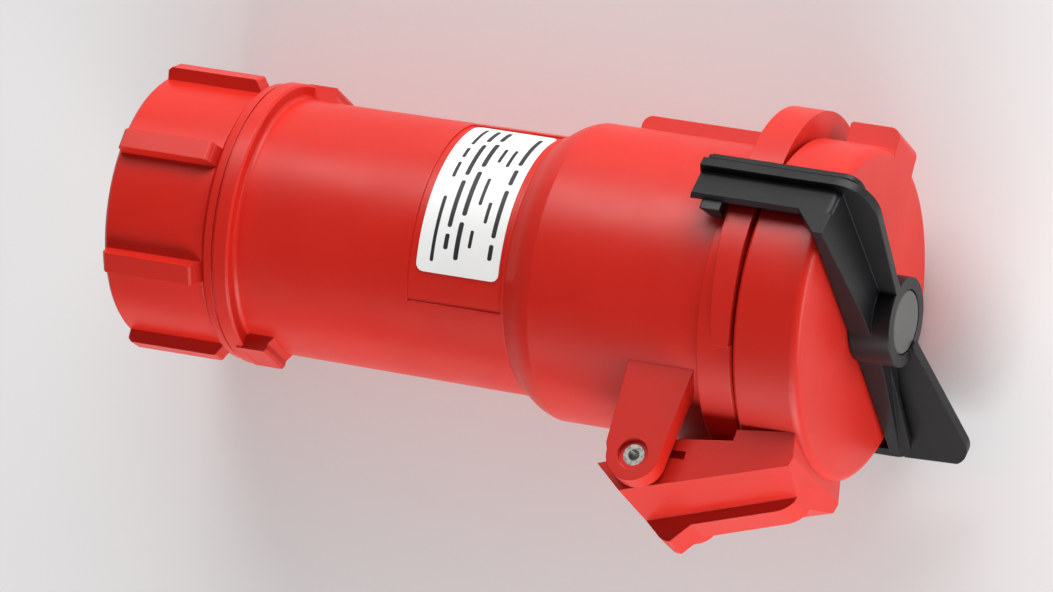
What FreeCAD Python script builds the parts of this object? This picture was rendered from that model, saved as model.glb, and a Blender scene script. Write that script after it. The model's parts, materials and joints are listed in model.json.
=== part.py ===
import FreeCAD, Part

import math
import os
import re

import Sketcher

V = FreeCAD.Vector

# Industrial cable connector, pin and sleeve, watertight, with a sprung lid and a
# bayonet lever. Everything is drawn in the connector's own frame, in millimetres:
# X runs along the connector from the cable to the lid, Z points to the key side,
# and the lid hinges at the other side, at -Z. At the end the whole connector is
# laid on its side, the way it comes to rest on a table.

SIZES = [
    # Cable end
    ("nut_length", 31.1, "length of the clamp nut"),
    ("nut_seam", 0.7, "gap between the clamp nut and the collar"),
    ("nut_wall", 3.54, "wall of the clamp nut between its ribs"),
    ("nut_rib_height", 3.6, "height of a grip rib"),
    ("nut_rib_width", 5.8, "width of one grip rib"),
    ("nut_rib_count", 7, "grip ribs round the nut"),
    ("nut_rib_start", 30.0, "angle of the first rib from the key side"),
    ("nut_end_wall", 5.0, "end wall of the clamp nut"),
    ("nut_mouth", 14.5, "radius of the cable hole in the nut"),
    ("nut_play", 0.06, "running clearance of the nut on the neck"),
    ("cable_bore", 10.0, "radius of the hole through the grommet"),
    ("grommet_length", 16.0, "length of the rubber grommet"),
    ("slip_ring_thick", 2.0, "thickness of the slip washer"),
    # Handle barrel
    ("neck_step", 2.3, "step from the barrel down to the threaded neck"),
    ("collar_back", -50.6, "rear face of the collar"),
    ("collar_width", 7.6, "width of the collar"),
    ("collar_rise", 4.1, "height of the collar over the barrel"),
    ("collar_groove", 1.0, "depth of the seal groove in the collar"),
    ("collar_groove_setback", 2.4, "seal groove from the collar's rear face"),
    ("collar_groove_width", 0.9, "width of the seal groove"),
    ("collar_lug_length", 7.0, "length of the two lugs in front of the collar"),
    ("collar_lug_half", 7.5, "half the width of a collar lug"),
    ("barrel_radius_back", 35.5, "barrel just in front of the collar"),
    ("barrel_radius_front", 36.2, "barrel at the front housing"),
    ("barrel_wall", 3.4, "wall of the barrel at the collar"),
    ("barrel_front_wall", 4.1, "wall of the barrel at the front housing"),
    ("seat_radius", 20.0, "hole through the barrel's rear wall"),
    ("panel_gap", 1.0, "distance of the label panel from the front housing"),
    ("panel_length", 28.0, "length of the label panel"),
    ("panel_from", 26.0, "start angle of the label panel"),
    ("panel_to", 131.5, "end angle of the label panel"),
    ("panel_depth", 0.7, "depth of the label panel at its front edge"),
    ("label_margin", 1.2, "distance of the rating label from the panel's front edge"),
    ("label_length", 24.6, "length of the rating label"),
    ("label_from", 29.0, "start angle of the rating label"),
    ("label_to", 117.0, "end angle of the rating label"),
    ("label_thick", 0.3, "thickness of the rating label"),
    # Front housing
    ("barrel_length", 82.0, "barrel from the collar to the front housing"),
    ("shoulder_step", 2.0, "step from the barrel up to the housing's shoulder"),
    ("shoulder_rise", 9.5, "length of the rounded shoulder"),
    ("body_step", 5.3, "step from the barrel up to the front housing's outside"),
    ("body_length", 60.8, "housing from its rear face to the flange"),
    ("flange_thick", 10.2, "thickness of the flange"),
    ("flange_step", 2.7, "height of the flange over the housing"),
    ("hump_rise", 10.4, "height of the key side hump over the flange"),
    ("hump_tuck", 8.2, "how much less the hump's radius is than the flange's"),
    ("key_rib_setback", 16.6, "key rib from the housing's rear face"),
    ("key_rib_height", 3.4, "height of the key rib over the housing"),
    ("key_rib_half", 8.0, "half the width of the key rib"),
    ("housing_wall", 7.5, "wall round the bore that takes the plug's collar"),
    ("keyway_half", 4.6, "half the width of the keyway"),
    ("keyway_depth", 4.4, "depth of the keyway"),
    ("ramp_height", 2.4, "height of the bayonet ramps on the flange"),
    ("ramp_from", 55.0, "start angle of a ramp"),
    ("ramp_to", 124.0, "end angle of a ramp"),
    ("ramp_lead", 2.2, "distance of the ramp from the flange's rear edge at the hook"),
    ("ramp_slope", 1.6, "distance by which the ramp narrows to its tip"),
    ("relief_from", 292.0, "start angle of the hook's way past the hump"),
    ("relief_to", 324.0, "end angle of the hook's way past the hump"),
    # Contacts
    ("collar_room", 5.5, "room for the plug's collar round the insert"),
    ("insert_setback", 3.5, "insert's front face from the flange's front"),
    ("insert_stand", 19.0, "insert's rear face from the housing's rear face"),
    ("seat_room", 14.0, "foot of the plug's bore from the insert's rear face"),
    ("plate_thick", 2.5, "thickness of the insert's front plate"),
    ("insert_flange", 3.5, "thickness of the insert's mounting flange"),
    ("ring_thick", 2.4, "thickness of the ring that holds the insert"),
    ("insert_play", 0.25, "clearance round the insert's mounting flange"),
    ("contact_inset", 11.0, "circle of contacts from the insert's outside"),
    ("earth_angle", 30.0, "earth contact's angle from the key"),
    ("phase_bore", 3.05, "bore of a phase sleeve"),
    ("earth_bore", 4.05, "bore of the earth sleeve"),
    ("sleeve_wall", 1.7, "wall of a sleeve"),
    ("sleeve_bore_depth", 36.0, "depth of a sleeve's bore"),
    ("terminal_length", 12.0, "length of a terminal behind the insert"),
    ("terminal_wall", 2.6, "wall of a terminal round its wire hole"),
    ("terminal_back_depth", 11.0, "depth of the wire hole in a terminal"),
    ("wire_hole", 3.0, "radius of the wire hole"),
    ("screw_radius", 1.9, "radius of a terminal screw"),
    ("screw_head", 1.2, "how far a terminal screw stands out"),
    ("fit_gap", 0.05, "clearance of a sleeve in the insert"),
    # Lid
    ("gasket_play", 0.2, "clearance of the lid gasket in the lid"),
    ("gasket_width", 7.0, "width of the lid gasket"),
    ("gasket_thick", 3.0, "thickness of the lid gasket"),
    ("lid_seam", 1.1, "gap between the flange and the lid"),
    ("lid_step", 2.0, "how far the lid's outside stands over the flange's"),
    ("lid_wall", 3.4, "wall of the lid"),
    ("skirt_length", 16.5, "length of the lid's skirt"),
    ("lid_round", 2.7, "rounding of the lid's front edge"),
    ("dome_rise", 3.0, "rise of the lid's front over its skirt"),
    ("lid_key_gap", 4.3, "distance of the lid's key bump from its rim"),
    ("lid_key_rise", 5.6, "height of the lid's key bump"),
    ("lid_key_half", 8.0, "half the width of the lid's key bump"),
    # Hinge
    ("pin_setback", 24.3, "hinge pin behind the lid's rim"),
    ("pin_stand", 15.0, "hinge pin below the housing's outside"),
    ("pin_radius", 3.0, "hinge pin"),
    ("pin_hollow", 1.6, "hollow in the end of the hinge pin"),
    ("pin_play", 0.05, "running clearance of the lid on its pin"),
    ("pin_recess", 1.2, "depth of the pin's end below the ear"),
    ("ear_outer", 28.0, "outer face of a hinge ear"),
    ("ear_thick", 6.5, "thickness of a hinge ear"),
    ("ear_boss", 7.6, "radius of the ear round the pin"),
    ("ear_root_back", 8.3, "rear edge of an ear's root behind the pin"),
    ("ear_root_front", 11.2, "front edge of an ear's root ahead of the pin"),
    ("ear_sink", 4.3, "counterbore round the pin's end"),
    ("bracket_gap", 1.0, "gap between the lid's bracket and an ear"),
    ("bracket_wall", 5.5, "wall of the bracket beside the spring's pocket"),
    ("knuckle_wall", 3.4, "wall of the lid's knuckle round the pin"),
    ("keel_half", 5.5, "half the width of the finger lip"),
    ("fold_depth", -7.4, "height of the bracket's fold at the pin, from the pin"),
    ("fold_rise", 0.314, "rise of the fold along the bracket"),
    ("lip_depth", -15.2, "height of the lip's edge at the pin, from the pin"),
    ("slot_depth", 2.0, "depth of the small slot in the bracket's side"),
    ("lip_rise", 0.329, "rise of the lip's edge along the bracket"),
    ("lip_foot", 3.4, "foot of the finger lip over its edge line"),
    ("crease_rise", 4.2, "crease beside the finger lip over its edge line"),
    ("crease_out", 3.2, "distance of the crease from the finger lip's side"),
    ("bracket_behind", 16.0, "how far the bracket's slopes start behind the pin"),
    ("bracket_ahead", 4.0, "how far they end ahead of the lid's front"),
    ("bracket_deep", 24.0, "how far they reach below the pin"),
    ("spring_wire", 1.6, "wire of the torsion spring"),
    ("spring_radius", 5.1, "mean radius of the spring's turns"),
    ("spring_turns", 8, "turns of the torsion spring"),
    ("spring_lean", -59.0, "lean of the spring's long leg"),
    # Lever
    ("lever_angle", 66.0, "first arm's angle from the key"),
    ("arm_reach", 39.0, "length of an arm behind the front bar"),
    ("arm_gap", 2.4, "gap between an arm and the lid"),
    ("arm_thick", 2.4, "thickness of an arm"),
    ("arm_wide", 9.4, "arm from the web to its wide side's edge"),
    ("arm_narrow", 5.0, "arm from the web to its narrow side's edge"),
    ("bar_flare", 17.0, "reach of the front bar's end from the web"),
    ("bar_middle", 10.6, "half the width of the front bar at the boss"),
    ("flare_run", 7.0, "length of the slant from an arm to the flared bar"),
    ("bar_edge", 2.9, "thickness of the front bar at its ends"),
    ("bar_root", 6.6, "thickness of the front bar at the boss"),
    ("web_half", 1.4, "half the thickness of the web"),
    ("web_rise", 5.0, "height of the web over the arm's inside"),
    ("web_round", 11.0, "rounding of the web's corner"),
    ("bead_rise", 2.8, "height of a bead over the arm's inside"),
    ("bead_front", 6.5, "height of a bead over the front bar's inside"),
    ("bead_width", 1.6, "width of a bead"),
    ("washer_thick", 0.4, "pivot washer between the lid and the lever"),
    ("boss_height", 11.8, "height of the boss and web over the front bar's inside"),
    ("tooth_drop", 2.9, "how far a hook tooth reaches in from its arm"),
    ("tooth_from", 1.5, "start angle of a tooth from the arm's middle"),
    ("tooth_to", 14.3, "end angle of a tooth from the arm's middle"),
    ("tooth_length", 3.2, "length of a tooth's tip along the connector"),
    ("tooth_slant", 2.6, "slant of a tooth's rear face"),
    ("tooth_gap", 0.4, "gap between a tooth and its ramp"),
    ("hub_radius", 12.5, "boss of the lever"),
    ("cap_radius", 8.84, "cap disc on the boss"),
    ("cap_thick", 2.0, "thickness of the cap disc"),
    ("cap_gap", 0.25, "gap round the cap disc"),
    ("pivot_radius", 4.0, "pivot bolt of the lever"),
    ("pivot_play", 0.05, "running clearance on the pivot bolt"),
    ("pivot_head", 6.6, "head radius of the pivot bolt"),
    ("head_thick", 3.0, "head of the pivot bolt"),
    ("wing_reach", 6.8, "outer end of the grip wing over the arm's inside"),
    ("wing_rise", 9.9, "rise of the grip wing over the boss"),
    # Resting place
    ("rest_roll", 112.39, "turn about the axis that lays the connector down"),
    ("rest_pitch", 1.9, "rise of the nose when it lies down"),
]

ALIASES = {name for name, value, meaning in SIZES}

# Places and radii that follow from the sizes above
FOLLOWS = {
    "neck_radius": "barrel_radius_back - neck_step",
    "nut_radius": "neck_radius + nut_play + nut_wall",
    "nut_rib_radius": "nut_radius + nut_rib_height",
    "nut_front": "collar_back - nut_seam",
    "nut_back": "nut_front - nut_length",
    "collar_front": "collar_back + collar_width",
    "collar_radius": "barrel_radius_back + collar_rise",
    "collar_groove_place": "collar_back + collar_groove_setback",
    "collar_lug_front": "collar_front + collar_lug_length",
    "shoulder": "collar_front + barrel_length",
    "panel_front": "shoulder - panel_gap",
    "panel_back": "panel_front - panel_length",
    "panel_floor": "barrel_radius_front - panel_depth",
    "label_front": "panel_front - label_margin",
    "label_back": "label_front - label_length",
    "shoulder_radius": "barrel_radius_front + shoulder_step",
    "body_radius": "barrel_radius_front + body_step",
    "flange_radius": "body_radius + flange_step",
    "flange_back": "shoulder + body_length",
    "flange_front": "flange_back + flange_thick",
    "ramp_radius": "flange_radius + ramp_height",
    "hump_apex": "flange_radius + hump_rise",
    "hump_radius": "flange_radius - hump_tuck",
    "key_rib_back": "shoulder + key_rib_setback",
    "key_rib_top": "body_radius + key_rib_height",
    "shroud_bore": "body_radius - housing_wall",
    "shroud_depth": "flange_front - insert_back - seat_room",
    "keyway_top": "shroud_bore + keyway_depth",
    "insert_radius": "shroud_bore - collar_room",
    "insert_back": "shoulder + insert_stand",
    "insert_front": "flange_front - insert_setback",
    "contact_circle": "insert_radius - contact_inset",
    "sleeve_front": "insert_front - plate_thick",
    "sleeve_back": "insert_back - terminal_length",
    "terminal_radius": "wire_hole + terminal_wall",
    "lid_back": "flange_front + lid_seam",
    "lid_radius": "flange_radius + lid_step",
    "lid_shoulder": "lid_back + skirt_length",
    "lid_front": "lid_shoulder + dome_rise",
    "gasket_outer": "lid_radius - lid_wall - gasket_play",
    "gasket_inner": "gasket_outer - gasket_width",
    "pin_place": "lid_back - pin_setback",
    "pin_drop": "body_radius + pin_stand",
    "ear_back": "pin_place - ear_root_back",
    "ear_front": "pin_place + ear_root_front",
    "bracket_half": "ear_outer - ear_thick - bracket_gap",
    "pocket_half": "bracket_half - bracket_wall",
    "knuckle_radius": "pin_radius + knuckle_wall",
    "front_inner": "lid_front + washer_thick",
    "arm_inner": "lid_radius + arm_gap",
}

doc = FreeCAD.newDocument("cable_connector")
sheet = doc.addObject("Spreadsheet::Sheet", "dims")
for row, (name, value, meaning) in enumerate(SIZES, start=1):
    sheet.set(f"A{row}", meaning)
    sheet.set(f"B{row}", str(value))
    sheet.setAlias(f"B{row}", name)
doc.recompute()

SUBPARTS = []


def size(words):
    """An expression over the sheet, written with the aliases alone."""
    def named(match):
        word = match.group()
        if word in FOLLOWS:
            return f"({size(FOLLOWS[word])})"
        return "dims." + word if word in ALIASES else word
    return re.sub(r"[a-z_]+", named, str(words))


def number(words):
    """The present value of such an expression."""
    result = sheet.evalExpression(size(words))
    return float(getattr(result, "Value", result))


def bind(feature, **sizes):
    """Tie properties of a feature to expressions over the sheet."""
    for name, words in sizes.items():
        feature.setExpression(name.replace("__", "."), size(words))
    return feature


def draw(sketch, outline):
    """Draw a closed outline whose corners are tied to the sheet.

    Each corner is (x, y), or (x, y, radius, side) where the stretch that ends
    there is an arc with its centre on that side of the way along it.
    """
    corners = [V(number(step[0]), number(step[1]), 0) for step in outline]
    for index, step in enumerate(outline):
        start = corners[index - 1]
        end = corners[index]
        if len(step) == 2:
            sketch.addGeometry(Part.LineSegment(start, end), False)
            continue
        radius = number(step[2])
        chord = end - start
        side = V(-chord.y, chord.x, 0).normalize()
        if step[3] == "right":
            side = side * -1
        rise = math.sqrt(max(radius ** 2 - (chord.Length / 2) ** 2, 0))
        centre = (start + end) * 0.5 + side * rise
        first, last = (start, end) if step[3] == "left" else (end, start)
        angles = [math.atan2(p.y - centre.y, p.x - centre.x) for p in (first, last)]
        circle = Part.Circle(centre, V(0, 0, 1), radius)
        sketch.addGeometry(Part.ArcOfCircle(circle, *angles), False)
    for index, step in enumerate(outline):
        last_index = (index + 1) % len(outline)
        reverse = len(step) == 4 and step[3] == "right"
        next_step = outline[last_index]
        next_reverse = len(next_step) == 4 and next_step[3] == "right"
        end_point = 1 if reverse else 2
        start_point = 2 if next_reverse else 1
        sketch.addConstraint(
            Sketcher.Constraint("Coincident", index, end_point, last_index, start_point))
        for axis, words in (("DistanceX", step[0]), ("DistanceY", step[1])):
            place = sketch.addConstraint(
                Sketcher.Constraint(axis, -1, 1, index, end_point, number(words)))
            sketch.setExpression(f"Constraints[{place}]", size(words))
        if len(step) == 4:
            place = sketch.addConstraint(Sketcher.Constraint("Radius", index, number(step[2])))
            sketch.setExpression(f"Constraints[{place}]", size(step[2]))
    return sketch


def sketch_in(body, plane, outline):
    """A sketch of an outline on one of a body's own origin planes."""
    sketch = body.newObject("Sketcher::SketchObject", body.Name + "_outline")
    support = next(o for o in body.Origin.OriginFeatures if o.Role == plane)
    sketch.AttachmentSupport = [(support, "")]
    sketch.MapMode = "FlatFace"
    return draw(sketch, outline)


def turned(name, outline, angle=360):
    """A body turned about the X axis from an outline of (x, radius) corners."""
    body = doc.addObject("PartDesign::Body", name)
    sketch = sketch_in(body, "XZ_Plane", outline)
    turn = body.newObject("PartDesign::Revolution", name + "_turn")
    turn.Profile = sketch
    turn.ReferenceAxis = (sketch, ["H_Axis"])
    turn.Angle = angle
    return body


def padded(name, plane, outline, length, offset="0", both=False):
    """A body padded from an outline; offset is along the plane's normal."""
    body = doc.addObject("PartDesign::Body", name)
    sketch = sketch_in(body, plane, outline)
    bind(sketch, AttachmentOffset__Base__z=offset)
    pad = body.newObject("PartDesign::Pad", name + "_pad")
    pad.Profile = sketch
    pad.Midplane = both
    bind(pad, Length=length)
    return body


def rod(name, radius, length, at=("0", "0", "0"), axis="X"):
    """A cylinder that starts at a place and runs along an axis."""
    solid = bind(doc.addObject("Part::Cylinder", name), Radius=radius, Height=length)
    turns = {"X": FreeCAD.Rotation(V(0, 1, 0), 90),
             "Y": FreeCAD.Rotation(V(1, 0, 0), -90),
             "Z": FreeCAD.Rotation()}
    solid.Placement = FreeCAD.Placement(V(0, 0, 0), turns[axis])
    return bind(solid, Placement__Base__x=at[0], Placement__Base__y=at[1],
                Placement__Base__z=at[2])


def block(name, low, high):
    """A box between two corners."""
    solid = doc.addObject("Part::Box", name)
    names = ("Length", "Width", "Height")
    for axis, side, near, far in zip("xyz", names, low, high):
        bind(solid, **{side: f"({far}) - ({near})", f"Placement__Base__{axis}": near})
    return solid


def fuse(name, pieces):
    """Join solids into one."""
    joined = doc.addObject("Part::MultiFuse", name)
    joined.Shapes = pieces
    joined.Refine = True
    return joined


def cut(name, base, tools):
    """Cut tools out of a solid."""
    tool = tools[0] if len(tools) == 1 else fuse(name + "_tools", tools)
    result = doc.addObject("Part::Cut", name)
    result.Base = base
    result.Tool = tool
    result.Refine = True
    return result


def common(name, base, tool):
    """What two solids share."""
    result = doc.addObject("Part::Common", name)
    result.Base = base
    result.Tool = tool
    return result


def about_x(name, source, angle):
    """A copy of a solid turned about the connector's axis, from the key side
    towards the near side."""
    copy = doc.addObject("Part::Feature", name)
    shape = source.Shape.copy()
    shape.rotate(V(0, 0, 0), V(1, 0, 0), angle)
    copy.Shape = shape
    return copy


def subpart(feature, label):
    """Name a finished piece."""
    feature.Label = label
    SUBPARTS.append(feature)
    return feature


def ring_profile(back, front, inner, outer):
    """The outline of a plain ring."""
    return [(back, inner), (front, inner), (front, outer), (back, outer)]


def clamp_nut():
    """The ribbed nut that squeezes the cable's grommet."""
    shell = turned("nut_shell", [
        ("nut_back", "nut_mouth"),
        ("nut_back + nut_end_wall", "nut_mouth"),
        ("nut_back + nut_end_wall", "neck_radius + nut_play"),
        ("nut_front", "neck_radius + nut_play"),
        ("nut_front", "nut_radius - 1"),
        ("nut_front - 1", "nut_radius"),
        ("nut_back + 1", "nut_radius"),
        ("nut_back", "nut_radius - 1"),
    ])
    rib = padded("nut_rib", "XZ_Plane", [
        ("nut_back + 1.2", "nut_radius - 1.5"),
        ("nut_front - 0.8", "nut_radius - 1.5"),
        ("nut_front - 0.8", "nut_radius"),
        ("nut_front - 2.4", "nut_rib_radius - 1"),
        ("nut_front - 3.4", "nut_rib_radius", "1.2", "left"),
        ("nut_back + 2.2", "nut_rib_radius"),
        ("nut_back + 1.2", "nut_rib_radius - 1"),
    ], "nut_rib_width", both=True)
    doc.recompute()
    count = round(number("nut_rib_count"))
    ribs = [about_x(f"nut_rib_{i}", rib, number("nut_rib_start") + i * 360 / count)
            for i in range(count)]
    subpart(fuse("nut", [shell] + ribs), "clamp_nut")


def cable_gland():
    """The rubber grommet and slip washer inside the nut."""
    back = "nut_back + nut_end_wall"
    subpart(turned("slip", ring_profile(
        back, f"{back} + slip_ring_thick", "cable_bore + 1.5",
        "neck_radius - 0.4")), "slip_washer")
    front = f"{back} + slip_ring_thick"
    subpart(turned("grommet", [
        (front, "cable_bore"),
        (f"{front} + grommet_length", "cable_bore"),
        (f"{front} + grommet_length", "seat_radius - 3"),
        (f"{front} + grommet_length - 5", "seat_radius - 0.2"),
        (front, "seat_radius + 4.8"),
    ]), "cable_grommet")


def handle_barrel():
    """The barrel with its neck, collar, lugs and label panel."""
    tail = "nut_back + nut_end_wall + slip_ring_thick"
    tube = turned("barrel_tube", [
        (f"{tail} + 0.3", "seat_radius + 5.0"),
        (f"{tail} + grommet_length - 4.7", "seat_radius"),
        (f"{tail} + grommet_length + 3", "seat_radius"),
        (f"{tail} + grommet_length + 3", "neck_radius - barrel_wall"),
        ("collar_back - 4", "neck_radius - barrel_wall"),
        ("collar_back", "barrel_radius_back - barrel_wall"),
        ("shoulder + 8", "barrel_radius_front - barrel_front_wall"),
        ("shoulder + 8", "barrel_radius_front - 2.2"),
        ("shoulder + 5.6", "barrel_radius_front - 2.2"),
        ("shoulder + 5.6", "barrel_radius_front - 3.2"),
        ("shoulder + 3.4", "barrel_radius_front - 3.2"),
        ("shoulder + 3.4", "barrel_radius_front - 2.2"),
        ("shoulder", "barrel_radius_front - 2.2"),
        ("shoulder", "barrel_radius_front"),
        ("collar_front + 1.2", "barrel_radius_back"),
        ("collar_front", "barrel_radius_back + 1.2", "1.2", "right"),
        ("collar_front", "collar_radius - 0.6"),
        ("collar_front - 0.6", "collar_radius"),
        ("collar_groove_place + collar_groove_width", "collar_radius"),
        ("collar_groove_place + collar_groove_width", "collar_radius - collar_groove"),
        ("collar_groove_place", "collar_radius - collar_groove"),
        ("collar_groove_place", "collar_radius - 0.5"),
        ("collar_back", "collar_radius - 0.8"),
        ("collar_back", "neck_radius"),
        (f"{tail} + 1.5", "neck_radius"),
        (f"{tail} + 0.3", "neck_radius - 1.2"),
    ])
    lug = padded("collar_lug", "XZ_Plane", [
        ("collar_front - 2", "barrel_radius_back - 1"),
        ("collar_lug_front + 1.6", "barrel_radius_back - 1"),
        ("collar_lug_front", "barrel_radius_back + 1.4"),
        ("collar_lug_front", "collar_radius - 1.2"),
        ("collar_lug_front - 0.6", "collar_radius - 0.3"),
        ("collar_front - 2", "collar_radius - 0.3"),
    ], "collar_lug_half * 2", both=True)
    doc.recompute()
    lugs = [about_x(f"collar_lug_{i}", lug, 180 * i) for i in range(2)]
    whole = fuse("barrel_whole", [tube] + lugs)
    panel = sector("panel_hollow", "panel_back", "panel_front", "panel_floor",
                   "barrel_radius_front + 3", "panel_from", "panel_to")
    subpart(cut("barrel", whole, [panel]), "handle_barrel")
    subpart(turned("seal", ring_profile("shoulder + 3.5", "shoulder + 5.5",
                                        "barrel_radius_front - 3.18",
                                        "barrel_radius_front - 2.12")), "barrel_seal")


def sector(name, back, front, inner, outer, start, stop):
    """A piece of a ring between two angles from the key side."""
    body = turned(name, ring_profile(back, front, inner, outer),
                  number(stop) - number(start))
    doc.recompute()
    return about_x(name + "_set", body, number(start))


def rating_label():
    """The bare label on its panel."""
    subpart(sector("label", "label_back", "label_front", "panel_floor + 0.02",
                   "panel_floor + label_thick", "label_from", "label_to"), "rating_label")


def front_housing():
    """The housing with its shoulder, key rib, flange, ramps and hinge ears."""
    inside = "shroud_bore"
    seat = "flange_front - shroud_depth"
    shell = turned("housing_shell", [
        ("shoulder", "barrel_radius_front - 2.1"),
        ("shoulder + 8.2", "barrel_radius_front - 2.1"),
        ("insert_back - 4", "insert_radius - 1.5"),
        ("insert_back", "insert_radius - 1.5"),
        ("insert_back", "insert_radius + 3"),
        (f"{seat} - 8", "insert_radius + 3"),
        (f"{seat}", inside),
        ("flange_front", inside),
        ("flange_front", "flange_radius - 0.6"),
        ("flange_front - 0.6", "flange_radius"),
        ("flange_back", "flange_radius"),
        ("flange_back", "body_radius"),
        ("shoulder + shoulder_rise", "body_radius"),
        ("shoulder + 2.8", "shoulder_radius", "15", "left"),
        ("shoulder", "barrel_radius_front + 0.02"),
    ])
    hump = padded("hump", "YZ_Plane", [
        ("-hump_radius", "hump_apex - hump_radius"),
        ("0", "hump_apex", "hump_radius", "right"),
        ("hump_radius", "hump_apex - hump_radius", "hump_radius", "right"),
    ], "flange_front - flange_back", "flange_back")
    rib = padded("key_rib", "XZ_Plane", [
        ("key_rib_back", "body_radius - 3"),
        ("flange_back + 1", "body_radius - 3"),
        ("flange_back + 1", "key_rib_top"),
        ("key_rib_back + 3", "key_rib_top"),
        ("key_rib_back", "key_rib_top - 3", "3", "left"),
    ], "key_rib_half * 2", both=True)
    doc.recompute()
    ramps = []
    ramp = ramp_solid()
    for i in range(2):
        ramps.append(about_x(f"ramp_{i}", ramp, 180 * i))
    ears = [hinge_ear(side) for side in (-1, 1)]
    relief = sector("hump_relief", "flange_back - 1", "flange_front + 1",
                    "flange_radius + 0.4", "hump_apex + 5", "relief_from", "relief_to")
    hump = cut("hump_cut", hump, [relief])
    whole = fuse("housing_whole", [shell, hump, rib] + ramps + ears)
    bore = rod("housing_bore", inside, "shroud_depth + 1", (seat, "0", "0"))
    rear = rod("housing_rear", "insert_radius + 3", "shroud_depth", ("insert_back", "0", "0"))
    keyway = block("keyway", (seat, "-keyway_half", "0"),
                   ("flange_front + 1", "keyway_half", "keyway_top"))
    tools = [bore, rear, keyway]
    for side in (-1, 1):
        outer = "-ear_outer" if side < 0 else "ear_outer - pin_recess"
        tools.append(rod(f"ear_sink_{side + 1}", "ear_sink", "pin_recess",
                         ("pin_place", outer, "-pin_drop"), "Y"))
    tools.append(rod("ear_bore", "pin_radius", "ear_outer * 2",
                     ("pin_place", "-ear_outer", "-pin_drop"), "Y"))
    subpart(cut("housing", whole, tools), "front_housing")


def ramp_solid():
    """One bayonet ramp: a band on the flange that narrows to its tip."""
    radius = number("ramp_radius")
    start = number("ramp_from")
    stop = number("ramp_to")
    band = turned("ramp_band", ring_profile("flange_back + ramp_lead", "flange_front",
                                            "flange_radius - 2", "ramp_radius"),
                  stop - start)
    doc.recompute()
    placed = about_x("ramp_placed", band, start)
    back = number("flange_back + ramp_lead")
    front = number("flange_front")
    slope = number("ramp_slope")
    middle = math.radians((start + stop) / 2)
    half = math.radians((stop - start) / 2) * radius
    # how far the rear edge steps forward at each distance from the tip
    width = front - back
    steps = [(-1, 48), (0, 46), (slope * 0.45, 30), (slope * 1.5, 7), (slope * 2, 3),
             (slope * 2.7, 1), (width - 1.4, 0), (width - 1.4, -6), (-1, -6)]
    corners = [V(ahead, tip - half, 0) for ahead, tip in steps]
    face = Part.Face(Part.makePolygon(corners + corners[:1]))
    wedge = face.extrude(V(0, 0, radius))
    wedge.translate(V(back, 0, radius * 0.4))
    wedge.rotate(V(0, 0, 0), V(1, 0, 0), math.degrees(middle))
    tool = doc.addObject("Part::Feature", "ramp_wedge")
    tool.Shape = wedge
    result = cut("ramp", placed, [tool])
    doc.recompute()
    return result


def hinge_ear(side):
    """A hinge ear under the housing, with its round end at the pin."""
    name = "ear_near" if side < 0 else "ear_far"
    outline = [
        ("ear_back", "-body_radius * 0.55"),
        ("ear_back", "-pin_drop + 2"),
        ("pin_place - ear_boss", "-pin_drop"),
        ("pin_place", "-pin_drop - ear_boss", "ear_boss", "left"),
        ("pin_place + ear_boss", "-pin_drop", "ear_boss", "left"),
        ("ear_front", "-body_radius * 0.7"),
        ("ear_front", "-body_radius * 0.55"),
    ]
    offset = "ear_outer - ear_thick" if side < 0 else "-ear_outer"
    return padded(name, "XZ_Plane", outline, "ear_thick", offset)


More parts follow.
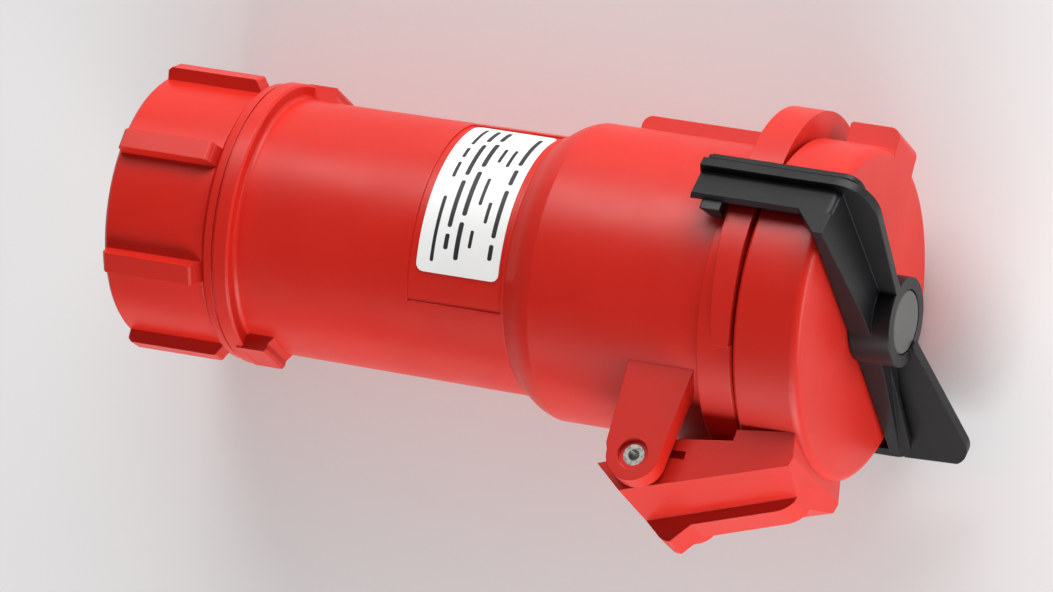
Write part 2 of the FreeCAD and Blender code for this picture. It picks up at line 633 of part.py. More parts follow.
def contact_carrier():
    """The insert with its four sleeves, terminals and screws."""
    core = turned("insert_core", [
        ("insert_back", "0"),
        ("insert_back", "insert_radius + 3 - insert_play"),
        ("insert_back + insert_flange", "insert_radius + 3 - insert_play"),
        ("insert_back + insert_flange", "insert_radius"),
        ("sleeve_front", "insert_radius"),
        ("sleeve_front", "0"),
    ])
    face = turned("insert_plate", [
        ("sleeve_front", "0"),
        ("sleeve_front", "insert_radius"),
        ("insert_front - 0.6", "insert_radius"),
        ("insert_front", "insert_radius - 0.6"),
        ("insert_front", "0"),
    ])
    holes = []
    mouths = []
    sleeves = []
    for index, label in enumerate(("earth", "phase_one", "phase_two", "phase_three")):
        earth = index == 0
        bore = "earth_bore" if earth else "phase_bore"
        angle = f"earth_angle + {90 * index}"
        place = math.radians(number(angle))
        y = f"contact_circle * {-math.sin(place):.6f}"
        z = f"contact_circle * {math.cos(place):.6f}"
        body = rod(f"{label}_body", f"{bore} + sleeve_wall", "sleeve_front - insert_back",
                   ("insert_back", y, z))
        terminal = rod(f"{label}_terminal", "terminal_radius",
                       "insert_back - sleeve_back", ("sleeve_back", y, z))
        pin_hole = rod(f"{label}_pin_hole", bore, "sleeve_bore_depth + 1",
                       ("sleeve_front - sleeve_bore_depth", y, z))
        wire = rod(f"{label}_wire_hole", "wire_hole", "terminal_back_depth + 1",
                   ("sleeve_back - 1", y, z))
        sleeve = cut(f"{label}_cut", fuse(f"{label}_whole", [body, terminal]),
                     [pin_hole, wire])
        sleeves.append((label, sleeve, y, z, number(angle)))
        holes.append(rod(f"{label}_seat", f"{bore} + sleeve_wall + fit_gap",
                         "sleeve_front - insert_back + 2", ("insert_back - 1", y, z)))
        mouths.append(rod(f"{label}_mouth", bore, "insert_front - sleeve_front + 2",
                          ("sleeve_front - 1", y, z)))
    subpart(cut("insert", core, holes), "contact_insert")
    subpart(cut("insert_face", face, mouths), "insert_front_plate")
    subpart(turned("retainer", ring_profile(
        "insert_back + insert_flange", "insert_back + insert_flange + ring_thick",
        "insert_radius + 0.1", "insert_radius + 2.95")), "insert_retaining_ring")
    screws = []
    for label, sleeve, y, z, turn in sleeves:
        hole = rod(f"{label}_thread", "screw_radius", "terminal_radius + 2",
                   ("sleeve_back + terminal_back_depth / 2", "0", "contact_circle"), "Z")
        screw = rod(f"{label}_screw", "screw_radius", "terminal_radius - wire_hole + 0.4"
                    " + screw_head",
                    ("sleeve_back + terminal_back_depth / 2", "0",
                     "contact_circle + wire_hole - 0.4"), "Z")
        doc.recompute()
        hole_turned = about_x(f"{label}_thread_turned", hole, turn)
        screws.append(about_x(f"{label}_screw_turned", screw, turn))
        subpart(cut(f"{label}_threaded", sleeve, [hole_turned]), f"{label}_sleeve")
    group = doc.addObject("Part::Compound", "screws")
    group.Links = screws
    subpart(group, "terminal_screws")


def lid_shell():
    """The lid: skirt, dome, key bump and hinge bracket."""
    shell = turned("lid_skirt", [
        ("lid_back", "lid_radius - lid_wall"),
        ("lid_back + gasket_thick", "lid_radius - lid_wall"),
        ("lid_front - lid_wall - 1.5", "lid_radius - lid_wall - 1"),
        ("lid_front - lid_wall", "lid_radius - lid_wall - 2.5"),
        ("lid_front - lid_wall", "pivot_radius + pivot_play"),
        ("lid_front", "pivot_radius + pivot_play"),
        ("lid_front", "hub_radius"),
        ("lid_shoulder + lid_round", "lid_radius - lid_round", "900", "left"),
        ("lid_shoulder", "lid_radius", "lid_round", "left"),
        ("lid_back + 0.8", "lid_radius"),
        ("lid_back", "lid_radius - 0.8"),
    ])
    seat = turned("gasket_seat", ring_profile(
        "lid_back + gasket_thick - 1.1", "lid_back + gasket_thick + 1.9",
        "gasket_inner", "lid_radius - 1"))
    bump = padded("lid_bump", "XZ_Plane", [
        ("lid_back + lid_key_gap", "lid_radius - 3.3"),
        ("lid_shoulder", "lid_radius - 3.3"),
        ("lid_front - 0.3", "lid_radius - 4.2"),
        ("lid_front - 0.3", "lid_radius + lid_key_rise - 3"),
        ("lid_front - 3.3", "lid_radius + lid_key_rise", "3", "left"),
        ("lid_back + lid_key_gap + 0.6", "lid_radius + lid_key_rise"),
        ("lid_back + lid_key_gap", "lid_radius + lid_key_rise - 0.6"),
    ], "lid_key_half * 2", both=True)
    side = padded("bracket_side", "XZ_Plane", [
        ("lid_back + 0.3", "-lid_radius + 3.0"),
        ("lid_back", "-lid_radius - 0.2"),
        ("pin_place + 11", "-pin_drop + 8.4"),
        ("pin_place - 2", "-pin_drop + knuckle_radius"),
        ("pin_place - knuckle_radius", "-pin_drop", "knuckle_radius", "left"),
        ("pin_place - 12.4", "-pin_drop - 2.2"),
        ("pin_place + 4.2", "-pin_drop - 15.6"),
        ("pin_place + 7.8", "-pin_drop - 16.6", "4.4", "left"),
        ("pin_place + 12.6", "-pin_drop - 11"),
        ("pin_place + 35.4", "-pin_drop - 3.5"),
        ("pin_place + 40.2", "-pin_drop + 0.2", "9", "left"),
        ("lid_shoulder + 1.6", "-lid_radius - 2"),
        ("lid_shoulder + 0.4", "-lid_radius + 5"),
    ], "bracket_half * 2", both=True)
    doc.recompute()
    hull = bracket_hull(side)
    whole = fuse("lid_whole", [shell, seat, bump, hull])
    bore = rod("lid_pin_bore", "pin_radius + pin_play", "bracket_half * 2",
               ("pin_place", "-bracket_half", "-pin_drop"), "Y")
    pocket = block("spring_pocket",
                   ("pin_place - 18", "-pocket_half", "-pin_drop - 6.8"),
                   ("pin_place + 7.2", "pocket_half", "-pin_drop + 14"))
    slots = [block(f"bracket_slot_{i}", ("pin_place + 6.8", place, "-pin_drop + 2.6"),
                   ("pin_place + 11.8", f"{place} + slot_depth * 2", "-pin_drop + 5"))
             for i, place in enumerate(("-bracket_half - slot_depth",
                                        "bracket_half - slot_depth"))]
    subpart(cut("lid", whole, [bore, pocket] + slots), "lid")


def bracket_hull(side):
    """The bracket's sides slope in below a fold, and drop in a crease to the finger lip."""
    half = number("bracket_half")
    keel = number("keel_half")
    pin_x = number("pin_place")
    pin_z = number("-pin_drop")
    fold_slope = number("fold_rise")
    sections = []
    for place in (pin_x - number("bracket_behind"), number("lid_front + bracket_ahead")):
        ahead = place - pin_x
        fold = pin_z + number("fold_depth") + fold_slope * ahead
        lip = pin_z + number("lip_depth") + number("lip_rise") * ahead
        deep = pin_z - number("bracket_deep")
        side_points = [(half, 0), (half, fold),
                       (keel + number("crease_out"), lip + number("crease_rise")),
                       (keel, lip + number("lip_foot")), (keel, deep)]
        corners = [V(place, -y, z) for y, z in side_points]
        corners += [V(place, y, z) for y, z in reversed(side_points)]
        sections.append(Part.makePolygon(corners + corners[:1]))
    prism = doc.addObject("Part::Feature", "bracket_prism")
    prism.Shape = Part.makeLoft(sections, True, True)
    return common("bracket", side, prism)


def lid_gasket():
    """The seal between lid and flange."""
    subpart(turned("gasket", ring_profile(
        "flange_front + 0.02", "lid_back + gasket_thick - 1.12", "gasket_inner",
        "gasket_outer")), "lid_gasket")


def hinge_pin():
    """The hinge pin, with a hollow at each end."""
    pin = rod("pin_rod", "pin_radius", "(ear_outer - pin_recess) * 2",
              ("pin_place", "-ear_outer + pin_recess", "-pin_drop"), "Y")
    hollows = [rod(f"pin_hollow_{i}", "pin_hollow", "4", ("pin_place", place, "-pin_drop"), "Y")
               for i, place in enumerate(("-ear_outer + pin_recess", "ear_outer - pin_recess - 4"))]
    subpart(cut("pin", pin, hollows), "hinge_pin")


def lever():
    """The lever: arms, a front bar that flares askew, webs, beads, teeth, boss and grip."""
    back = "front_inner - arm_reach"
    strip = padded("arm_strip", "XZ_Plane", elbow(back, "arm_thick", "bar_edge", "2"),
                   "arm_narrow + arm_wide", "-arm_narrow")
    flare = padded("arm_flare", "XY_Plane", [
        ("front_inner - flare_run", "-arm_wide"),
        ("front_inner", "-bar_flare"),
        ("front_inner + bar_edge", "-bar_flare"),
        ("front_inner + bar_edge", "-arm_wide"),
    ], "arm_thick", "arm_inner")
    web = padded("arm_web", "XZ_Plane", elbow(back, "web_rise", "boss_height", "web_round"),
                 "web_half * 2", both=True)
    bead = padded("arm_bead", "XZ_Plane", elbow(f"{back} + 1", "bead_rise", "bead_front", "5"),
                  "bead_width", "-arm_narrow")
    wing = padded("wing_profile", "XZ_Plane", [
        ("front_inner + 2", "0"),
        ("front_inner + boss_height", "0"),
        ("front_inner + boss_height + 1", "8"),
        ("front_inner + boss_height + wing_rise", "arm_inner + wing_reach - 9.4"),
        ("front_inner + boss_height + wing_rise - 4", "arm_inner + wing_reach - 0.7",
         "9", "left"),
        ("front_inner + 2", "arm_inner + wing_reach"),
    ], "web_half * 2", both=True)
    front = "flange_back + ramp_lead - tooth_gap"
    tooth = turned("tooth", [
        (f"{front} - tooth_length", "arm_inner - tooth_drop"),
        (front, "arm_inner - tooth_drop"),
        (front, "arm_inner + 1.4"),
        (f"{front} - tooth_length - tooth_slant", "arm_inner + 1.4"),
    ], number("tooth_to") - number("tooth_from"))
    doc.recompute()
    pieces = [about_x("bar_placed", front_bar(), number("lever_angle"))]
    for i in range(2):
        turn = number("lever_angle") + 180 * i
        for shape in (strip, flare, web, bead):
            pieces.append(about_x(f"{shape.Label}_{i}", shape, turn))
        pieces.append(about_x(f"tooth_{i}", tooth, turn + number("tooth_from")))
    pieces.append(about_x("wing_placed", wing, number("lever_angle") + 180))
    hub = rod("hub", "hub_radius", "boss_height", ("front_inner", "0", "0"))
    whole = fuse("lever_whole", pieces + [hub])
    face = "front_inner + boss_height"
    hole = rod("lever_hole", "pivot_radius + pivot_play", "20", ("front_inner - 1", "0", "0"))
    sink = rod("lever_sink", "pivot_head + 0.4", "head_thick + cap_thick + 1",
               (f"{face} - cap_thick - head_thick", "0", "0"))
    cap_room = rod("cap_room", "cap_radius + cap_gap", "cap_thick + 1",
                   (f"{face} - cap_thick", "0", "0"))
    subpart(cut("lever_piece", whole, [hole, sink, cap_room]), "locking_lever")


def front_bar():
    """The bar across the lid: thicker at the boss, and askew between the two arms."""
    end = "arm_inner + arm_thick - 0.8"
    plan = padded("bar_plan", "YZ_Plane", [
        ("-bar_flare", end),
        ("-bar_middle", "0"),
        ("-arm_narrow", f"-({end})"),
        ("bar_flare", f"-({end})"),
        ("bar_middle", "0"),
        ("arm_narrow", end),
    ], "bar_root", "front_inner")
    side = padded("bar_side", "XZ_Plane", [
        ("front_inner", f"-({end})"),
        ("front_inner + bar_edge", f"-({end})"),
        ("front_inner + bar_root", "-hub_radius"),
        ("front_inner + bar_root", "hub_radius"),
        ("front_inner + bar_edge", end),
        ("front_inner", end),
    ], "bar_flare * 2 + 2", both=True)
    doc.recompute()
    bar = common("bar", plan, side)
    doc.recompute()
    return bar


def elbow(back, rise, front_rise, corner):
    """The side outline of one bent piece of the lever: along an arm and down the front."""
    outer = f"arm_inner + {rise}"
    face = f"front_inner + {front_rise}"
    return [
        (back, "arm_inner"),
        ("front_inner", "arm_inner"),
        ("front_inner", "0"),
        (face, "0"),
        (face, f"{outer} - {corner}"),
        (f"{face} - {corner}", outer, corner, "left"),
        (f"{back} + 0.8", outer),
    ]


def lever_pivot():
    """The bolt, nut and cap that hold the lever on the lid."""
    face = "front_inner + boss_height"
    head_back = f"{face} - cap_thick - head_thick"
    shank_back = "lid_front - lid_wall - 6"
    head = rod("bolt_head", "pivot_head", "head_thick", (head_back, "0", "0"))
    shank = rod("bolt_shank", "pivot_radius", f"{face} - cap_thick - 1 - ({shank_back})",
                (shank_back, "0", "0"))
    subpart(fuse("pivot", [head, shank]), "pivot_bolt")
    nut = turned("pivot_nut_ring", ring_profile(
        "lid_front - lid_wall - 5", "lid_front - lid_wall", "pivot_radius + 0.02",
        "pivot_head"))
    subpart(nut, "pivot_nut")
    subpart(turned("pivot_ring", ring_profile(
        "lid_front", "front_inner", "pivot_radius + 0.1", "hub_radius - 3")), "pivot_washer")
    subpart(turned("cap", [
        (f"{face} - cap_thick + 0.02", "0"),
        (f"{face}", "0"),
        (f"{face}", "cap_radius - 0.4"),
        (f"{face} - 0.4", "cap_radius"),
        (f"{face} - cap_thick + 0.02", "cap_radius"),
    ]), "boss_cap")


def torsion_spring():
    """The spring that closes the lid, wound round the hinge pin."""
    coil = doc.addObject("Part::Feature", "spring")
    coil.Shape = spring_shape()
    subpart(coil, "torsion_spring")


def spring_shape():
    """A helix of wire with a leg at each end."""
    wire = number("spring_wire")
    radius = number("spring_radius")
    turns = number("spring_turns")
    pitch = wire * 1.15
    helix = Part.makeHelix(pitch, pitch * turns, radius)
    start = V(radius, 0, 0)
    slope = V(0, 1, pitch / (2 * math.pi * radius))
    profile = Part.Wire(Part.makeCircle(wire / 2, start, slope))
    coil = Part.Wire(helix).makePipeShell([profile], True, True)
    lean = math.radians(number("spring_lean"))
    rise = number("pin_stand") - wire - radius * abs(math.sin(lean))
    end = V(radius, 0, pitch * turns)
    long_leg = Part.makeCylinder(wire / 2, rise / math.cos(lean), end, slope)
    short_leg = Part.makeCylinder(wire / 2, wire * 2, start, slope * -1)
    shape = coil.multiFuse([long_leg, short_leg])
    shape.translate(V(0, 0, -pitch * turns / 2))
    shape.rotate(V(0, 0, 0), V(1, 0, 0), 90)
    shape.rotate(V(0, 0, 0), V(0, 1, 0), number("spring_lean"))
    shape.translate(V(number("pin_place"), 0, -number("pin_drop")))
    return shape


def lay_down():
    """Lay the whole connector on its far side, its lowest point on the table."""
    roll = FreeCAD.Rotation(V(1, 0, 0), -number("rest_roll"))
    pitch = FreeCAD.Rotation(V(0, 1, 0), -number("rest_pitch"))
    turn = FreeCAD.Placement(V(0, 0, 0), pitch.multiply(roll))
    box = FreeCAD.BoundBox()
    for feature in SUBPARTS:
        shape = feature.Shape.copy()
        shape.Placement = turn.multiply(shape.Placement)
        box.add(shape.optimalBoundingBox(True, False))
    shift = V(-(box.XMin + box.XMax) / 2, -(box.YMin + box.YMax) / 2, -box.ZMin)
    place = FreeCAD.Placement(shift, turn.Rotation)
    for feature in SUBPARTS:
        feature.Placement = place.multiply(feature.Placement)
    print("resting place", place)


def check_and_write():
    """Stop if anything failed, then write each piece to its own file."""
    doc.recompute()
    for thing in doc.Objects:
        if "Invalid" in thing.State or "Error" in thing.State:
            raise RuntimeError(f"{thing.Name} failed: {thing.State}")
    os.makedirs("parts", exist_ok=True)
    for feature in SUBPARTS:
        shape = feature.Shape
        if shape.isNull() or not shape.isValid() or not shape.Solids:
            raise RuntimeError(f"{feature.Label} is not a valid solid")
        shape.exportStep(os.path.join("parts", feature.Label + ".step"))
        print(f"{feature.Label}: {shape.Volume:.0f} cubic mm, {len(shape.Solids)} solids")


clamp_nut()
cable_gland()
handle_barrel()
rating_label()
front_housing()
contact_carrier()
lid_shell()
lid_gasket()
hinge_pin()
lever()
lever_pivot()
torsion_spring()
doc.recompute()
lay_down()
check_and_write()
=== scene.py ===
import json
import math

import bmesh
import bpy
from mathutils import Matrix, Vector


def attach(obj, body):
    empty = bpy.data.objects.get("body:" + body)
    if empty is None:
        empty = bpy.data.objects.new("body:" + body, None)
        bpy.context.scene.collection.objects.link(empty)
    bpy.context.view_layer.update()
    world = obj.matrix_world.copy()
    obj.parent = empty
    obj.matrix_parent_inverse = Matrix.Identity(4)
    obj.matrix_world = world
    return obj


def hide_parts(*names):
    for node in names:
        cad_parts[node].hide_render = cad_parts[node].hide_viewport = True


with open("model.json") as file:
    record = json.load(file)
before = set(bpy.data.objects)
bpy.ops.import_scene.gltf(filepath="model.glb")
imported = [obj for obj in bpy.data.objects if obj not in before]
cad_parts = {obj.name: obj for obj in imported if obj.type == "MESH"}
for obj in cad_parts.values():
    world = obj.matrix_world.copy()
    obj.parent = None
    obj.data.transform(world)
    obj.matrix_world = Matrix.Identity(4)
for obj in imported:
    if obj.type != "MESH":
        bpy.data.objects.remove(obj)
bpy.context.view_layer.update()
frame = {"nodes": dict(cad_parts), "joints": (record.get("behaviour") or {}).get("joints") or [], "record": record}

MM = 0.001


def axes_matrix(x, y, z, place):
    """The matrix of a frame with these three axes at this place."""
    return Matrix((
        (x.x, y.x, z.x, place.x),
        (x.y, y.y, z.y, place.y),
        (x.z, y.z, z.z, place.z),
        (0, 0, 0, 1)))


# The connector's own frame, read from the joints: X along it, Z to its key side
JOINTS = {joint["name"]: joint for joint in frame["joints"]}
LEVER_PLACE = 131.0 * MM          # the lever joint's place along the connector
ALONG = Vector(JOINTS["lever_turn"]["axis"]).normalized()
ACROSS = Vector(JOINTS["lid_hinge"]["axis"]).normalized()
KEYWARD = ALONG.cross(ACROSS).normalized()
CENTRE = Vector(JOINTS["lever_turn"]["pos_m"]) - ALONG * LEVER_PLACE
OWN_FRAME = axes_matrix(ALONG, ACROSS, KEYWARD, CENTRE)

# Camera, as fitted to the photograph
PHOTO_WIDTH = 1053                    # pixels
PHOTO_ROLL = math.radians(16.0)       # turn of the key side away from the camera
PHOTO_AZIMUTH = math.radians(22.7)    # turn of the lid end towards the camera
PHOTO_TILT = math.radians(9.02)       # fall of the lid end in the picture
PHOTO_DISTANCE = 2.84                 # metres from the camera
PHOTO_SIDE = -0.0270                  # metres that the connector's origin is off, sideways
PHOTO_DROP = -0.0135                  # metres that it is off, downwards
PIXELS_PER_METRE = 3610.0             # at that distance
SENSOR = 36.0                         # millimetres across
CLIP_END = 20.0                       # metres

# Lamps: place from MIDDLE along the picture's right, up and back; length and width; the
# picture's axis that the length follows; and watts. Places and sizes are in metres.
MIDDLE = Vector((0, 0, 0.045))
LAMPS = {
    "top_lamp": ((0, 0.85, 0.42), (1.2, 0.45), "right", 13),
    "low_lamp": ((0, -0.85, 0.36), (1.1, 0.35), "right", 10),
    "end_lamp": ((0.95, 0, 0.30), (0.8, 0.5), "up", 11),
}
ROOM_STRENGTH = 0.16
ROOM_WHITE = (1, 1, 1, 1)

# Floor: half its side in metres, its paper's roughness, and how far that varies
FLOOR_REACH = 9.0
FLOOR_ROUGHNESS = 0.70
FLOOR_SPREAD = 0.05

# Colours, linear
RED = (0.60, 0.016, 0.0075)
BLACK = (0.008, 0.008, 0.009)
DISC_GREY = (0.085, 0.085, 0.082)
LABEL_WHITE = (0.90, 0.90, 0.89)
INK = (0.02, 0.02, 0.02)
RUBBER = (0.02, 0.02, 0.02)
STEEL = (0.62, 0.61, 0.58)
BRASS = (0.70, 0.55, 0.28)
INSERT = (0.03, 0.03, 0.033)
FLOOR = (0.80, 0.80, 0.80)

# Noise: scales are in cells a metre, and most values lie between NOISE_LOW and NOISE_HIGH
NOISE_LOW = 0.3
NOISE_HIGH = 0.7
PAPER_SCALE = 40.0
GLOSS_SCALE = 60.0
SHADE_SCALE = 18.0
SHADE_DETAIL = 3.0
GRAIN_SCALE = 2600.0
GRAIN_DETAIL = 2.0
SCRATCH_SCALE = 900.0
SCRATCH_DETAIL = 3.0

# Moulded plastic
PLASTIC_IOR = 1.5
COAT_ROUGHNESS = 0.25
DARKEST_SHADE = 0.92                  # of the colour's own value
LIGHTEST_SHADE = 1.06
GRAIN_DEPTH = 0.2                     # millimetres
EDGE_SAMPLES = 6

# Metal
POLISH = 0.06                         # fall of the roughness in the smoothest spots
WEAR = 0.1                            # rise of it in the roughest
SCRATCH_STRENGTH = 0.08
SCRATCH_DEPTH = 0.1                   # millimetres

# The rating label, in millimetres and degrees from the key side
LABEL_BACK = 12.2
LABEL_FRONT = 36.8
LABEL_FROM = 29.0
LABEL_TO = 117.0
LABEL_CORNER = 2.2
LABEL_RADIUS = 35.8
LABEL_THICK = 0.28
LABEL_BARS = (                        # place along, height, and each bar's two angles
    (33.6, 1.3, ((36, 60), (63, 72), (75, 98), (101, 108))),
    (30.2, 1.0, ((50, 62), (82, 92))),
    (27.2, 1.0, ((50, 60), (70, 84), (96, 104))),
    (23.6, 1.4, ((33, 44), (47, 64), (67, 90), (93, 110))),
    (20.2, 1.3, ((33, 46), (49, 70), (73, 96), (99, 106))),
    (16.6, 1.0, ((33, 50), (53, 60), (63, 72), (82, 112))),
)
BAR_CORNER_SHARE = 0.45               # of a bar's height
BAR_SINK = 0.02                       # depth of a bar's back under the label's face
BAR_RISE = 0.03                       # height of its front above it
PATCH_STEPS = 48                      # facets of the label or a bar from end to end
CORNER_STEPS = 6                      # facets of each of its corners


def point(x, angle, radius):
    """A point by its place along the connector, its angle from the key side
    towards the near side, and its radius, all in millimetres and degrees."""
    turn = math.radians(angle)
    own = Vector((x, -radius * math.sin(turn), radius * math.cos(turn))) * MM
    return OWN_FRAME @ own


def add_object(name, data):
    """A new object in the scene."""
    thing = bpy.data.objects.new(name, data)
    bpy.context.scene.collection.objects.link(thing)
    return thing


def set_inputs(node, values):
    """Set a shader node's inputs by their names."""
    for name, value in values.items():
        node.inputs[name].default_value = value


def new_material(name, colour, roughness):
    """A material, its node tree and its Principled shader."""
    material = bpy.data.materials.new(name)
    material.use_nodes = True
    tree = material.node_tree
    shader = tree.nodes["Principled BSDF"]
    set_inputs(shader, {"Base Color": (*colour, 1), "Roughness": roughness})
    return material, tree, shader


def noise(tree, scale, detail=4.0):
    """A noise texture's value, on object coordinates."""
    coordinates = tree.nodes.new("ShaderNodeTexCoord")
    texture = tree.nodes.new("ShaderNodeTexNoise")
    set_inputs(texture, {"Scale": scale, "Detail": detail})
    tree.links.new(coordinates.outputs["Object"], texture.inputs["Vector"])
    return texture.outputs["Fac"]


def span(tree, value, low, high):
    """Stretch a noise's usual values over a range."""
    mapped = tree.nodes.new("ShaderNodeMapRange")
    set_inputs(mapped, {"From Min": NOISE_LOW, "From Max": NOISE_HIGH,
                        "To Min": low, "To Max": high})
    tree.links.new(value, mapped.inputs["Value"])
    return mapped.outputs["Result"]


def add_bump(tree, shader, height, strength, depth):
    """Raise a shader's surface by a texture; the depth is in millimetres."""
    bump = tree.nodes.new("ShaderNodeBump")
    set_inputs(bump, {"Strength": strength, "Distance": depth * MM})
    tree.links.new(height, bump.inputs["Height"])
    tree.links.new(bump.outputs["Normal"], shader.inputs["Normal"])
    return bump


def moulded(name, colour, roughness, grain=0.06, edge=0.35, coat=0.0, spread=0.05,
            sheen=0.4):
    """Moulded plastic: fine grain, uneven gloss and shade, and edges that look rounded to a
    radius in millimetres, as a mould leaves them."""
    material, tree, shader = new_material(name, colour, roughness)
    set_inputs(shader, {"Coat Weight": coat, "Coat Roughness": COAT_ROUGHNESS,
                        "IOR": PLASTIC_IOR, "Specular IOR Level": sheen})
    gloss = noise(tree, GLOSS_SCALE)
    tree.links.new(span(tree, gloss, roughness - spread, roughness + spread),
                   shader.inputs["Roughness"])
    shade = noise(tree, SHADE_SCALE, SHADE_DETAIL)
    mix = tree.nodes.new("ShaderNodeMix")
    mix.data_type = "RGBA"
    dark, light = ([min(channel * factor, 1) for channel in colour]
                   for factor in (DARKEST_SHADE, LIGHTEST_SHADE))
    set_inputs(mix, {"A": (*dark, 1), "B": (*light, 1)})
    tree.links.new(span(tree, shade, 0, 1), mix.inputs["Factor"])
    tree.links.new(mix.outputs["Result"], shader.inputs["Base Color"])
    texture = noise(tree, GRAIN_SCALE, GRAIN_DETAIL)
    bevel = tree.nodes.new("ShaderNodeBevel")
    bevel.samples = EDGE_SAMPLES
    set_inputs(bevel, {"Radius": edge * MM})
    bump = add_bump(tree, shader, texture, grain, GRAIN_DEPTH)
    tree.links.new(bevel.outputs["Normal"], bump.inputs["Normal"])
    return material


def metal(name, colour, roughness):
    """Plated or drawn metal with an uneven gloss and fine scratches."""
    material, tree, shader = new_material(name, colour, roughness)
    set_inputs(shader, {"Metallic": 1.0})
    scratch = noise(tree, SCRATCH_SCALE, SCRATCH_DETAIL)
    tree.links.new(span(tree, scratch, roughness - POLISH, roughness + WEAR),
                   shader.inputs["Roughness"])
    add_bump(tree, shader, scratch, SCRATCH_STRENGTH, SCRATCH_DEPTH)
    return material


MATERIALS = {
    "red_plastic": moulded("red_moulding", RED, roughness=0.40, coat=0.03, sheen=0.32),
    "black_plastic": moulded("black_moulding", BLACK, roughness=0.38, grain=0.12, edge=0.5,
                             sheen=0.24),
    "grey_plastic": moulded("grey_moulding", DISC_GREY, roughness=0.5, grain=0.15, edge=0.2),
    "insert_plastic": moulded("insert_moulding", INSERT, roughness=0.5, grain=0.1, edge=0.3),
    "label": moulded("label_foil", LABEL_WHITE, roughness=0.45, grain=0.02, edge=0.05,
                     spread=0.03),
    "brass": metal("plated_brass", BRASS, roughness=0.25),
    "steel": metal("stainless_steel", STEEL, roughness=0.28),
    "ink": moulded("label_ink", INK, roughness=0.5, grain=0.02, edge=0.02, spread=0.03),
    "rubber": moulded("rubber_moulding", RUBBER, roughness=0.65, grain=0.1, edge=0.2),
}


def dress_nodes():
    """Give every carried-over node its material."""
    slots = {row["node"]: row["material_slot"] for row in frame["record"]["subparts"]}
    for name, thing in frame["nodes"].items():
        thing.data.materials.clear()
        thing.data.materials.append(MATERIALS[slots[name]])


def add_patch(mesh, rows, inner, outer):
    """Add a thin curved plate about the connector's axis, from rows of (x, start, stop)."""
    skins = []
    for radius in (outer, inner):
        grid = []
        for x, start, stop in rows:
            angles = [start + (stop - start) * i / PATCH_STEPS for i in range(PATCH_STEPS + 1)]
            grid.append([mesh.verts.new(point(x, angle, radius)) for angle in angles])
        skins.append(grid)
    top, bottom = skins
    faces = []

    def add_face(*corners):
        faces.append(mesh.faces.new(corners))

    last = len(rows) - 1
    for row in range(last):
        for i in range(PATCH_STEPS):
            add_face(top[row][i], top[row][i + 1], top[row + 1][i + 1], top[row + 1][i])
            add_face(bottom[row][i], bottom[row + 1][i], bottom[row + 1][i + 1],
                     bottom[row][i + 1])
        for i in (0, PATCH_STEPS):
            add_face(top[row][i], top[row + 1][i], bottom[row + 1][i], bottom[row][i])
    for row in (0, last):
        for i in range(PATCH_STEPS):
            add_face(top[row][i], top[row][i + 1], bottom[row][i + 1], bottom[row][i])
    bmesh.ops.recalc_face_normals(mesh, faces=faces)


def rounded_rows(back, front, start, stop, corner):
    """Rows of a patch on the label's radius with rounded corners, whose radius is in
    millimetres."""
    rows = []
    for i in range(CORNER_STEPS + 1):
        turn = math.pi / 2 * i / CORNER_STEPS
        inset = math.degrees(corner * (1 - math.sin(turn)) / LABEL_RADIUS)
        rows.append((back + corner * (1 - math.cos(turn)), start + inset, stop - inset))
    rows += [(back + front - x, low, high) for x, low, high in reversed(rows)]
    return rows


def finished_piece(name, mesh, material):
    """Turn an edited mesh into an object of one material."""
    data = bpy.data.meshes.new(name)
    mesh.to_mesh(data)
    mesh.free()
    data.materials.append(material)
    return add_object(name, data)


def rating_label():
    """The foil label with rounded corners."""
    mesh = bmesh.new()
    rows = rounded_rows(LABEL_BACK, LABEL_FRONT, LABEL_FROM, LABEL_TO, LABEL_CORNER)
    add_patch(mesh, rows, LABEL_RADIUS - LABEL_THICK, LABEL_RADIUS)
    face = finished_piece("label_foil", mesh, MATERIALS["label"])
    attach(face, "housing")
    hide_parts("rating_label")


def label_bars():
    """Plain bars where the label's lines of print would be, joined into one piece."""
    mesh = bmesh.new()
    for x, height, bars in LABEL_BARS:
        for start, stop in bars:
            rows = rounded_rows(x - height / 2, x + height / 2, start, stop,
                                height * BAR_CORNER_SHARE)
            add_patch(mesh, rows, LABEL_RADIUS - BAR_SINK, LABEL_RADIUS + BAR_RISE)
    thing = finished_piece("label_bars", mesh, MATERIALS["ink"])
    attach(thing, "housing")


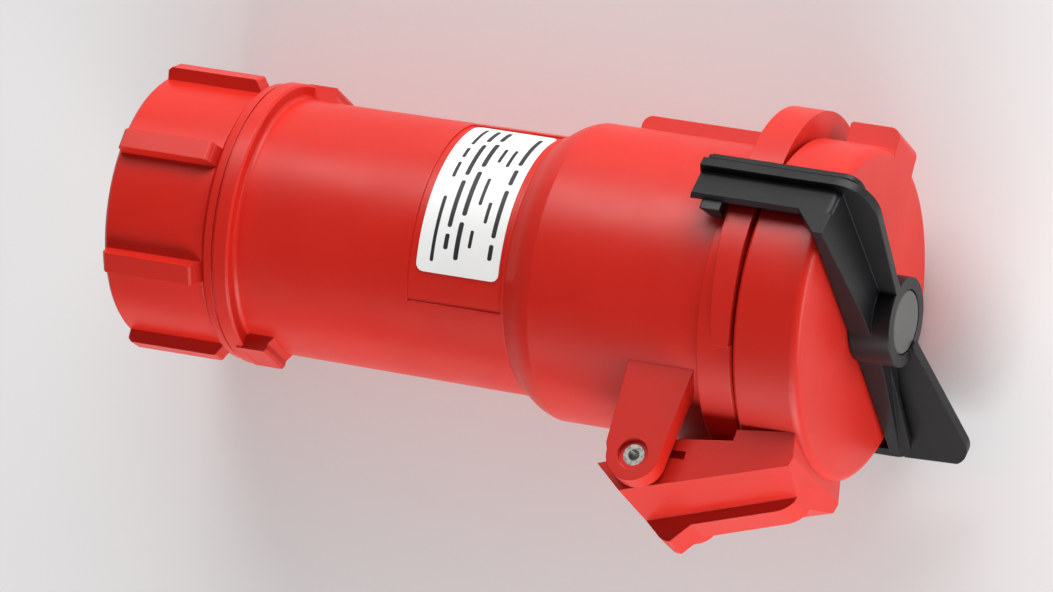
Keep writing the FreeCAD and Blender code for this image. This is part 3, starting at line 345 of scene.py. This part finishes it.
def pale_floor():
    """A wide pale floor of matt paper."""
    mesh = bpy.data.meshes.new("floor")
    mesh.from_pydata([(-FLOOR_REACH, -FLOOR_REACH, 0), (FLOOR_REACH, -FLOOR_REACH, 0),
                      (FLOOR_REACH, FLOOR_REACH, 0), (-FLOOR_REACH, FLOOR_REACH, 0)],
                     [], [(0, 1, 2, 3)])
    floor = add_object("floor", mesh)
    material, tree, shader = new_material("floor_paper", FLOOR, FLOOR_ROUGHNESS)
    paper = noise(tree, PAPER_SCALE)
    tree.links.new(span(tree, paper, FLOOR_ROUGHNESS - FLOOR_SPREAD,
                        FLOOR_ROUGHNESS + FLOOR_SPREAD), shader.inputs["Roughness"])
    mesh.materials.append(material)


def camera():
    """The camera at the photograph's viewing angle, and the picture's right, up and back."""
    roll = Matrix.Rotation(-PHOTO_ROLL, 3, "X")
    turn = Matrix.Rotation(-PHOTO_AZIMUTH, 3, "Z")
    side_view = Matrix(((1, 0, 0), (0, 0, -1), (0, 1, 0)))     # X right, Z up, Y away
    tilt = Matrix.Rotation(PHOTO_TILT, 3, "Z")
    look = tilt @ side_view @ turn @ roll
    own = OWN_FRAME.to_3x3()
    right, down, forward = (own @ look[i] for i in range(3))
    place = CENTRE - (right * PHOTO_SIDE + down * PHOTO_DROP + forward * PHOTO_DISTANCE)
    data = bpy.data.cameras.new("photo_camera")
    data.sensor_width = SENSOR
    data.lens = PIXELS_PER_METRE * PHOTO_DISTANCE / PHOTO_WIDTH * SENSOR
    data.clip_end = CLIP_END
    thing = add_object("photo_camera", data)
    up = -down
    back = -forward
    thing.matrix_world = axes_matrix(right, up, back, place)
    bpy.context.scene.camera = thing
    return right, up, back


def lamp(name, place, long_side, length, width, watts):
    """A soft oblong lamp that looks at the connector's middle, its length along long_side."""
    data = bpy.data.lights.new(name, "AREA")
    data.shape = "RECTANGLE"
    data.size = length
    data.size_y = width
    data.energy = watts
    out = (place - MIDDLE).normalized()
    side = (long_side - out * long_side.dot(out)).normalized()
    add_object(name, data).matrix_world = axes_matrix(side, out.cross(side), out, place)


def light(right, up, back):
    """Soft studio light: long lamps above and below the picture, one at the lid's end."""
    picture_axes = {"right": right, "up": up}
    for name, (offset, size, follows, watts) in LAMPS.items():
        place = MIDDLE + right * offset[0] + up * offset[1] + back * offset[2]
        lamp(name, place, picture_axes[follows], *size, watts)
    world = bpy.data.worlds.new("room")
    world.use_nodes = True
    set_inputs(world.node_tree.nodes["Background"],
               {"Color": ROOM_WHITE, "Strength": ROOM_STRENGTH})
    bpy.context.scene.world = world


dress_nodes()
rating_label()
label_bars()
pale_floor()
light(*camera())
bpy.context.scene.view_settings.view_transform = "Standard"
